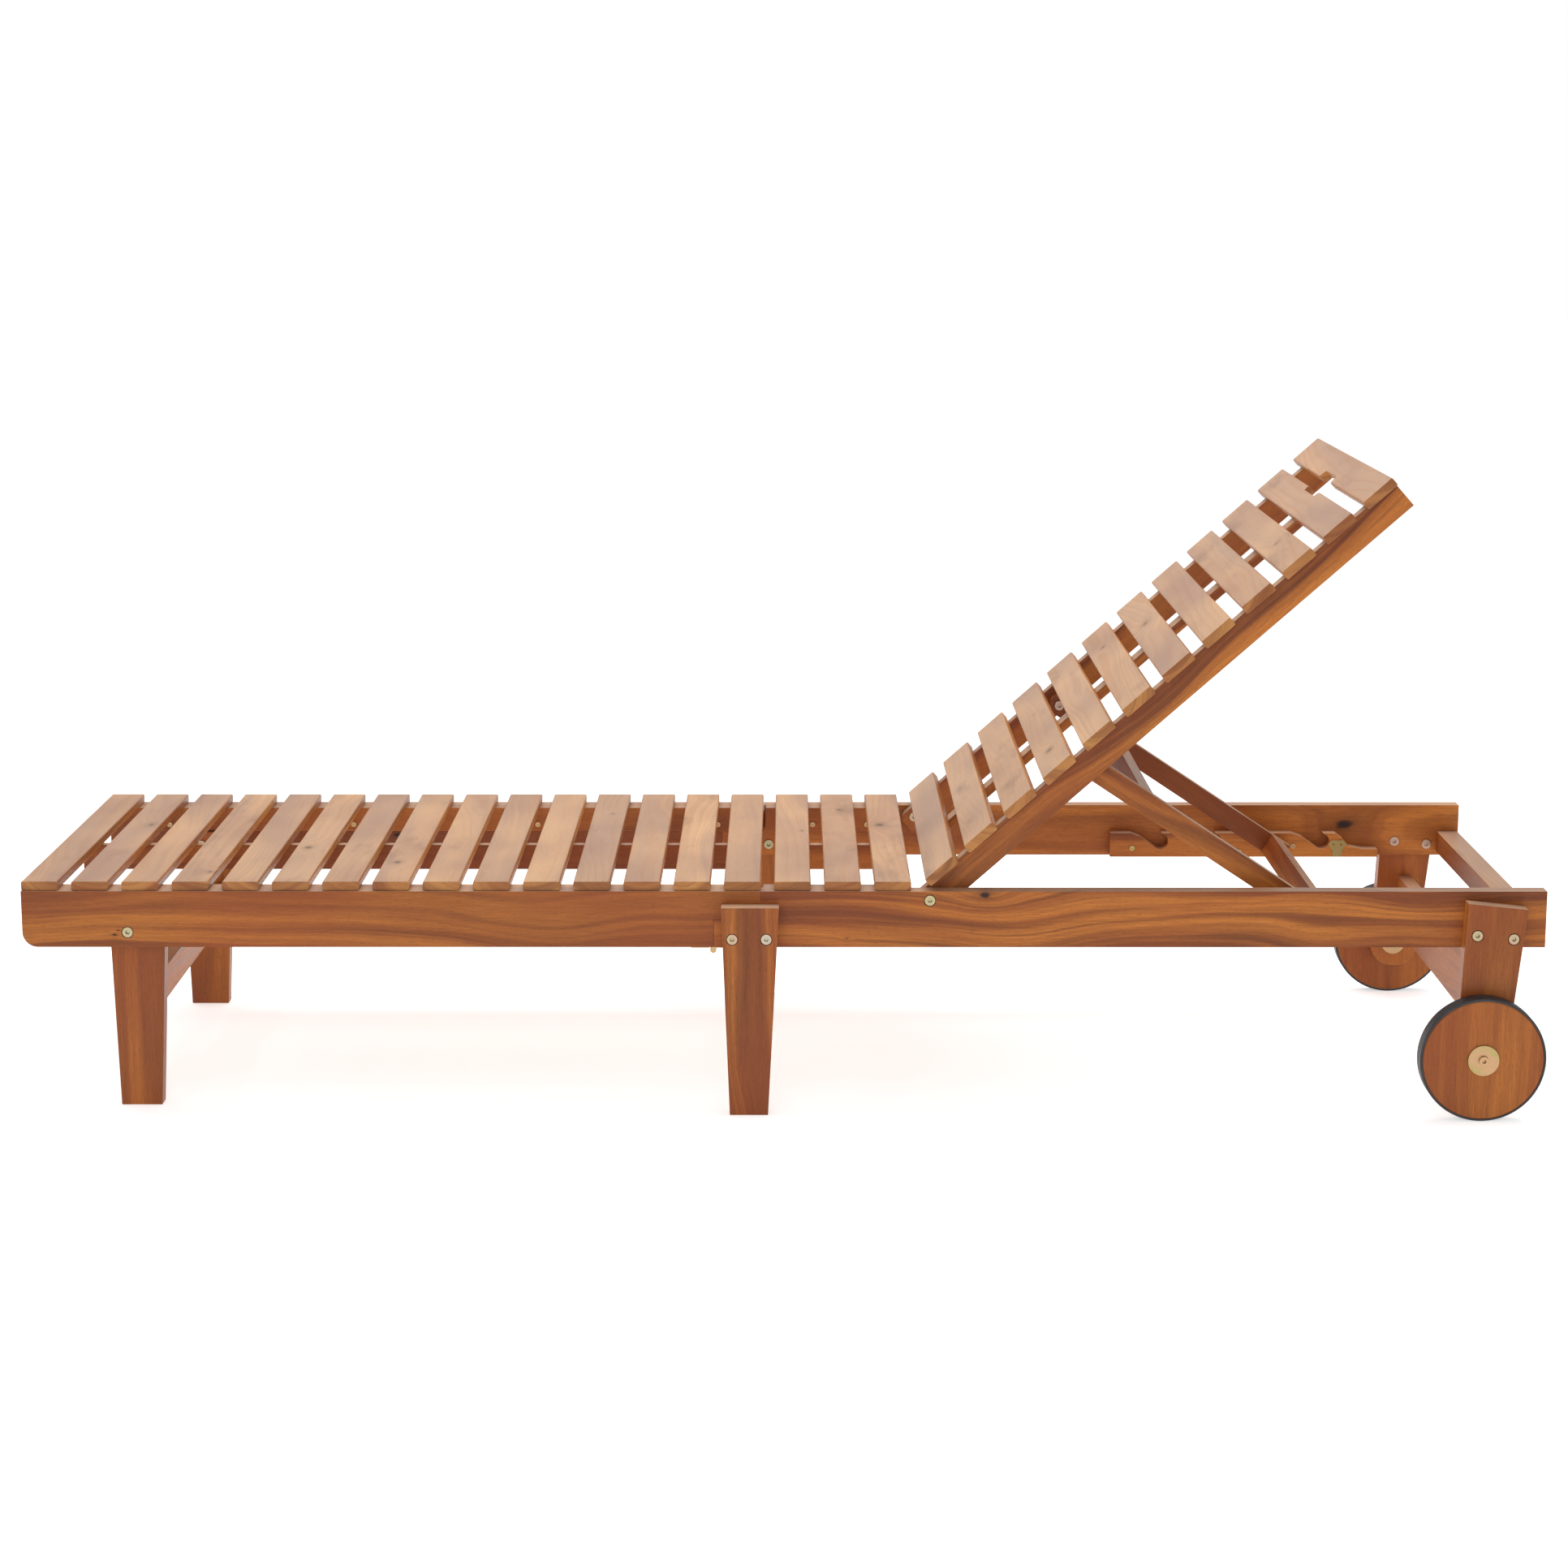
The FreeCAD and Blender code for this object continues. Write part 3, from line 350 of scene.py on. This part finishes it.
def soften(node, width):
    """Ease a timber's or fitting's sharp edges. The mesh itself stays as it is."""
    piece = NODES[node]
    weld = piece.modifiers.new("join", "WELD")
    weld.merge_threshold = 0.00001
    flat = piece.modifiers.new("flat_faces", "DECIMATE")
    flat.decimate_type = "DISSOLVE"
    flat.angle_limit = math.radians(0.4)
    ease = piece.modifiers.new("eased_edges", "BEVEL")
    ease.width = width
    ease.segments = 2
    ease.limit_method = "ANGLE"
    ease.angle_limit = math.radians(40)
    ease.use_clamp_overlap = True
    ease.harden_normals = True


# ---------------------------------------------------------------- timbers
def knot_at(node, share_along, share_up, radius):
    """A knot on a side board, placed by shares of the board's length and height."""
    low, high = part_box(node)
    return (Vector((low.x + share_along * (high.x - low.x), (low.y + high.y) / 2,
                    low.z + share_up * (high.z - low.z))), radius)


# share of a rail's length and of its height, and the knot's radius
RAIL_KNOTS = {"foot_rail_left": [(0.125, 0.22, 0.0025), (0.13, 0.30, 0.0018)],
              "head_rail_left": [(0.325, 0.93, 0.009), (0.16, 0.16, 0.002)],
              "head_rail_right": [(0.845, 0.62, 0.015)],
              "foot_rail_right": [(0.44, 0.40, 0.006)]}


def dress_timber(node, grain, face, seed, dark, edge, sheen_and_wear_way=UPWARD):
    """One timber of the frame; edge is how far its corners are eased."""
    knots = [knot_at(node, *spot) for spot in RAIL_KNOTS.get(node, ())]
    # the upward faces, or those facing the given way, take the painted sheen and grey weathering tint
    dress(node, wood(node, grain, face, seed, RAIL_TONES, dark, FRAME_PALE, sheen_and_wear_way, knots=knots))
    soften(node, edge)


def dress_side_timbers():
    """The timbers that come in pairs. Each has a seed of its own, so no two have the same grain."""
    for index, side in enumerate(SIDES):
        out = ACROSS * (-1 if side == "left" else 1)
        rail_seed = 3 + 7 * index
        leg_seed = 21 + 5 * index
        head_rail_dark = 0.85 - 0.4 * index
        dress_timber(f"foot_rail_{side}", ALONG, out, rail_seed, 0.45, RAIL_EDGE)
        dress_timber(f"head_rail_{side}", ALONG, out, rail_seed + 1, head_rail_dark, RAIL_EDGE)
        dress_timber(f"front_leg_{side}", UPWARD, out, leg_seed, 0.45, LEG_EDGE)
        dress_timber(f"middle_leg_{side}", UPWARD, out, leg_seed + 1, 0.45, LEG_EDGE)
        dress_timber(f"wheel_leg_{side}", UPWARD, out, leg_seed + 2, 0.10, LEG_EDGE)
        dress_timber(f"rack_{side}", ALONG, out, 31 + index, 0.85, RACK_EDGE)
        dress_timber(f"backrest_rail_{side}", BACK_SLOPE, out, 41 + index, 0.85, BACK_EDGE, BACK_NORMAL)
        dress_timber(f"prop_arm_{side}", ARM_SLOPE, out, 47 + index, 0.85, BACK_EDGE, ARM_NORMAL)


# shares of a seat slat's length from the near side and of its width, and the knot's radius
SEAT_KNOTS = {"foot_slat_02": (0.62, 0.75, 0.009), "foot_slat_04": (0.10, 0.85, 0.005),
              "foot_slat_06": (0.36, 0.35, 0.010), "foot_slat_08": (0.20, 0.40, 0.009),
              "foot_slat_12": (0.75, 0.60, 0.005), "head_slat_16": (0.55, 0.80, 0.004),
              "head_slat_17": (0.80, 0.55, 0.006), "head_slat_18": (0.62, 0.35, 0.011)}

# backrest slat counted from the recline pivot, share of its length from the near side, knot's radius
BACK_KNOTS = ((4, 0.20, 0.009), (6, 0.75, 0.005), (7, 0.62, 0.010), (10, 0.3, 0.005))
LOWER_HAND_HOLE_SLAT = 11


def dress_seat_slats():
    seat = [node for node in NODES if node.startswith(("foot_slat_", "head_slat_"))]
    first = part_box("foot_slat_01")[0].x - (SLAT_PITCH - SLAT_WIDTH) / 2
    for node in seat:
        knots = []
        if node in SEAT_KNOTS:
            share_long, share_wide, radius = SEAT_KNOTS[node]
            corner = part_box(node)[0]
            place = corner + ALONG * share_wide * SLAT_WIDTH + ACROSS * share_long * SLAT_LENGTH
            knots = [(place, radius)]
        dress(node, wood(node, ACROSS, UPWARD, 60, SLAT_TONES, SLAT_DARK, SEAT_SLAT_PALE,
                         split=(ALONG, first, SLAT_PITCH), knots=knots, knot_depth=SEAT_KNOT_DEPTH))
        soften(node, SLAT_EDGE)


def dress_back_slats():
    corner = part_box("hand_hole_slat_lower")[0]
    gap_before = corner + BACK_SLOPE * -(BACK_PITCH - SLAT_WIDTH) / 2
    # starting well below the lowest slat keeps every slat's step above zero
    start = BACK_SLOPE.dot(gap_before) - 20 * BACK_PITCH
    knots = [(middle("hand_hole_slat_lower") + BACK_SLOPE * (number - LOWER_HAND_HOLE_SLAT) * BACK_PITCH
              + ACROSS * (share - 0.5) * SLAT_LENGTH, radius)
             for number, share, radius in BACK_KNOTS]
    for node in ("backrest_slats", "hand_hole_slat_lower", "hand_hole_slat_upper"):
        dress(node, wood(node, ACROSS, BACK_NORMAL, 90, SLAT_TONES, SLAT_DARK, BACK_SLAT_PALE,
                         split=(BACK_SLOPE, start, BACK_PITCH), knots=knots, knot_depth=BACK_KNOT_DEPTH))
        soften(node, SLAT_EDGE)


def dress_cross_timbers():
    """The timbers under the slats and between the sides: grain, wide face, darkness, and the way of the
    faces that take the painted sheen and grey weathering.
    """
    timbers = {"foot_battens": (ALONG, ACROSS, 0.6, UPWARD),
               "head_battens": (ALONG, ACROSS, 0.6, UPWARD),
               "foot_centre_beam": (ALONG, ACROSS, 0.5, UPWARD),
               "head_centre_beam": (ALONG, ACROSS, 0.5, UPWARD),
               "front_leg_stretcher": (ACROSS, ALONG, 0.5, UPWARD),
               "wheel_leg_stretcher": (ACROSS, ALONG, 0.6, UPWARD),
               "head_cross_rail": (ACROSS, UPWARD, 0.4, UPWARD),
               "backrest_centre_lath": (BACK_SLOPE, BACK_NORMAL, 0.4, BACK_NORMAL),
               "prop_lower_bar": (ACROSS, ARM_NORMAL, 0.4, ARM_NORMAL),
               "prop_upper_bar": (ACROSS, ARM_NORMAL, 0.4, ARM_NORMAL)}
    for order, (node, (grain, face, dark, sheen_and_wear_way)) in enumerate(timbers.items()):
        dress_timber(node, grain, face, 110 + order, dark, SLAT_EDGE, sheen_and_wear_way)


def dress_wheels():
    tread = rubber("tyre_rubber")
    for order, side in enumerate(SIDES):
        dress_timber(f"wheel_{side}", UPWARD, ACROSS, 131 + order, 0.05, WHEEL_EDGE)
        dress(f"tyre_{side}", tread)


def dress_metal():
    silver = (srgb(176, 166, 150), srgb(182, 150, 134), srgb(172, 162, 124))
    yellow = (srgb(182, 158, 108), srgb(188, 148, 114), srgb(166, 152, 98))
    bolts = plated("bolt_zinc", silver, 0.24, 1.3)
    fittings = plated("yellow_zinc", yellow, 0.28, 4.1)
    for node in ("head_frame_bolts", "front_leg_bolts", "prop_pivot_bolts"):
        dress(node, bolts)
        soften(node, BOLT_EDGE)
    for node in ("axle_bolts", "head_frame_screws", "foot_batten_screws", "rack_keepers",
                 "fold_hinge_head_leaves", "fold_hinge_foot_leaves"):
        dress(node, fittings)
        soften(node, FITTING_EDGE)


# ---------------------------------------------------------------- stage, light and camera
# lengths and places in metres, lens and sensor in millimetres, turns in degrees
WORLD_LIGHT = 0.52
FLOOR_SIZE = 40
FLOOR_GLOW = 0.55
FLOOR_GAP = 0.0005
CAMERA_LENS = 75.11
CAMERA_SENSOR = 36.0
CAMERA_PLACE = (0.0043, -4.4796, 1.249)
CAMERA_PITCH = 10.95
CAMERA_TURN = 0.056


def build_stage():
    bpy.ops.mesh.primitive_plane_add(size=FLOOR_SIZE, location=(0, 0, -FLOOR_GAP))
    floor = bpy.context.active_object
    floor.name = "floor"
    make = Shader("floor_white")
    make.set(Base_Color=(0.90, 0.90, 0.90, 1.0), Roughness=0.9, Emission_Color=(1.0, 1.0, 1.0, 1.0),
             Emission_Strength=FLOOR_GLOW)
    floor.data.materials.append(make.material)
    world = bpy.data.worlds.new("studio")
    bpy.context.scene.world = world
    world.use_nodes = True
    tree = world.node_tree
    back = tree.nodes["Background"]
    back.inputs["Color"].default_value = (1.0, 1.0, 1.0, 1.0)
    seen = tree.nodes.new("ShaderNodeLightPath").outputs["Is Camera Ray"]
    strength = tree.nodes.new("ShaderNodeMapRange")
    strength.inputs["To Min"].default_value = WORLD_LIGHT
    strength.inputs["To Max"].default_value = 1.0
    tree.links.new(seen, strength.inputs["Value"])
    tree.links.new(strength.outputs[0], back.inputs["Strength"])
    bpy.context.scene.view_settings.view_transform = "Standard"


def area_light(name, place, target, size, power):
    data = bpy.data.lights.new(name, "AREA")
    data.shape = "RECTANGLE"
    data.size, data.size_y = size
    data.energy = power
    lamp = bpy.data.objects.new(name, data)
    bpy.context.scene.collection.objects.link(lamp)
    lamp.location = place
    lamp.rotation_mode = "QUATERNION"
    lamp.rotation_quaternion = (Vector(target) - Vector(place)).to_track_quat("-Z", "Y")


def build_lights():
    area_light("overhead", (0.0, 0.7, 3.0), (0.0, 0.0, 0.3), (5.2, 1.8), 100)
    area_light("front", (-0.6, -4.2, 1.9), (0.2, 0.0, 0.3), (3.0, 1.6), 33)


def build_camera():
    data = bpy.data.cameras.new("camera")
    data.lens = CAMERA_LENS
    data.sensor_width = CAMERA_SENSOR
    camera = bpy.data.objects.new("camera", data)
    bpy.context.scene.collection.objects.link(camera)
    camera.location = CAMERA_PLACE
    camera.rotation_euler = (math.radians(90 - CAMERA_PITCH), 0.0, math.radians(CAMERA_TURN))
    bpy.context.scene.camera = camera


build_camera()
build_stage()
build_lights()
dress_side_timbers()
dress_seat_slats()
dress_back_slats()
dress_cross_timbers()
dress_wheels()
dress_metal()
